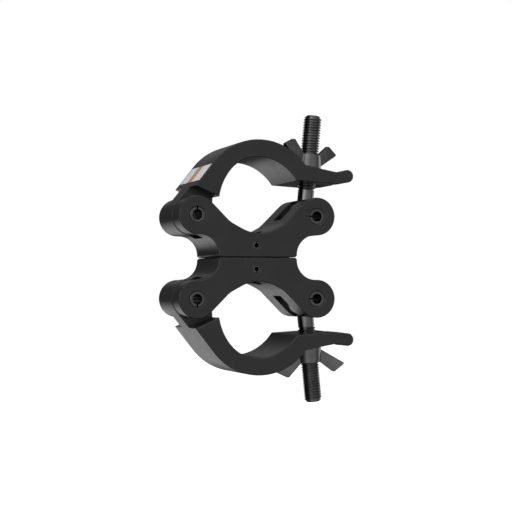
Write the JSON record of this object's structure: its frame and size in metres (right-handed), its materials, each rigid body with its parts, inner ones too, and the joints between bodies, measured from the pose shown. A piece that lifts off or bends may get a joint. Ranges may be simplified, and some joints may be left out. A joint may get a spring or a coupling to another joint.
{
  "type": "swivel pipe clamp",
  "caption": "Swivel pipe clamp of back-to-back hinged couplers joined by a pivot, each closed round a tube by a swinging eyebolt and wing nut.",
  "frame": {"origin": "middle of the lower tube seat, on the lower tube's axis", "axes": "+Y along the lower tube, +Z from the lower tube towards the upper tube, +X from the hinges towards the eyebolts"},
  "size_m": [0.1208, 0.05, 0.1898],
  "materials": {
    "black_coat": "satin black coating on forged aluminium",
    "black_nut": "glossy black plated steel",
    "black_steel": "glossy black plated steel",
    "spring_steel": "blackened spring steel",
    "pivot_steel": "blackened steel",
    "bronze": "plain bearing bronze",
    "label_paper": "satin white film"
  },
  "bodies": {
    "lower_base": {"lower_base": "black_coat", "lower_hinge_pin": "spring_steel", "lower_eyebolt_pin": "spring_steel", "lower_lock_pin": "spring_steel", "pivot_bolt": "pivot_steel", "pivot_nut": "pivot_steel", "swivel_washer": "pivot_steel"},
    "upper_base": {"upper_base": "black_coat", "upper_hinge_pin": "spring_steel", "upper_eyebolt_pin": "spring_steel", "upper_lock_pin": "spring_steel", "pivot_bush": "bronze", "pivot_washer": "pivot_steel"},
    "lower_jaw": {"lower_jaw": "black_coat"},
    "upper_jaw": {"upper_jaw": "black_coat", "flank_label": "label_paper"},
    "lower_eyebolt": {"lower_eyebolt": "black_steel"},
    "upper_eyebolt": {"upper_eyebolt": "black_steel"},
    "lower_washer": {"lower_washer": "black_steel"},
    "upper_washer": {"upper_washer": "black_steel"},
    "lower_wing_nut": {"lower_wing_nut": "black_nut"},
    "upper_wing_nut": {"upper_wing_nut": "black_nut"}
  },
  "joints": [
    {"name": "swivel", "type": "hinge", "parent": "lower_base", "child": "upper_base", "pos_m": [-0.0005, 0, 0.0397], "axis": [0, 0, 1], "continuous": true},
    {"name": "lower_eyebolt_swing", "type": "hinge", "parent": "lower_base", "child": "lower_eyebolt", "pos_m": [0.03945, 0, 0.0132], "axis": [0, -1, 0], "range_deg": [0, 45.01]},
    {"name": "lower_nut_travel", "type": "slide", "parent": "lower_eyebolt", "child": "lower_washer", "axis": [0.0976, 0, -0.9952], "range_m": [0, 0.02976]},
    {"name": "lower_wing_nut_turn", "type": "hinge", "parent": "lower_washer", "child": "lower_wing_nut", "pos_m": [0.03945, 0, 0.0132], "axis": [0.0976, 0, -0.9952], "range_deg": [0, 6120]},
    {"name": "lower_jaw_open", "type": "hinge", "parent": "lower_base", "child": "lower_jaw", "pos_m": [-0.04045, 0, 0.0132], "axis": [0, 1, 0], "range_deg": [0, 6.01]},
    {"name": "upper_eyebolt_swing", "type": "hinge", "parent": "upper_base", "child": "upper_eyebolt", "pos_m": [0.03945, 0, 0.0662], "axis": [0, 1, 0], "range_deg": [0, 45.01]},
    {"name": "upper_nut_travel", "type": "slide", "parent": "upper_eyebolt", "child": "upper_washer", "axis": [0.0976, 0, 0.9952], "range_m": [0, 0.02976]},
    {"name": "upper_wing_nut_turn", "type": "hinge", "parent": "upper_washer", "child": "upper_wing_nut", "pos_m": [0.03945, 0, 0.0662], "axis": [0.0976, 0, 0.9952], "range_deg": [0, 6120]},
    {"name": "upper_jaw_open", "type": "hinge", "parent": "upper_base", "child": "upper_jaw", "pos_m": [-0.04045, 0, 0.0662], "axis": [0, -1, 0], "range_deg": [0, 6.01]}
  ],
  "couplings": [
    {"joint": "lower_nut_travel", "follows": "lower_wing_nut_turn", "m_per_rad": 0.00027852},
    {"joint": "lower_eyebolt_swing", "follows": "lower_wing_nut_turn", "ratio": 0.0073529},
    {"joint": "lower_jaw_open", "follows": "lower_wing_nut_turn", "ratio": 0.00098039},
    {"joint": "upper_nut_travel", "follows": "upper_wing_nut_turn", "m_per_rad": 0.00027852},
    {"joint": "upper_eyebolt_swing", "follows": "upper_wing_nut_turn", "ratio": 0.0073529},
    {"joint": "upper_jaw_open", "follows": "upper_wing_nut_turn", "ratio": 0.00098039}
  ]
}
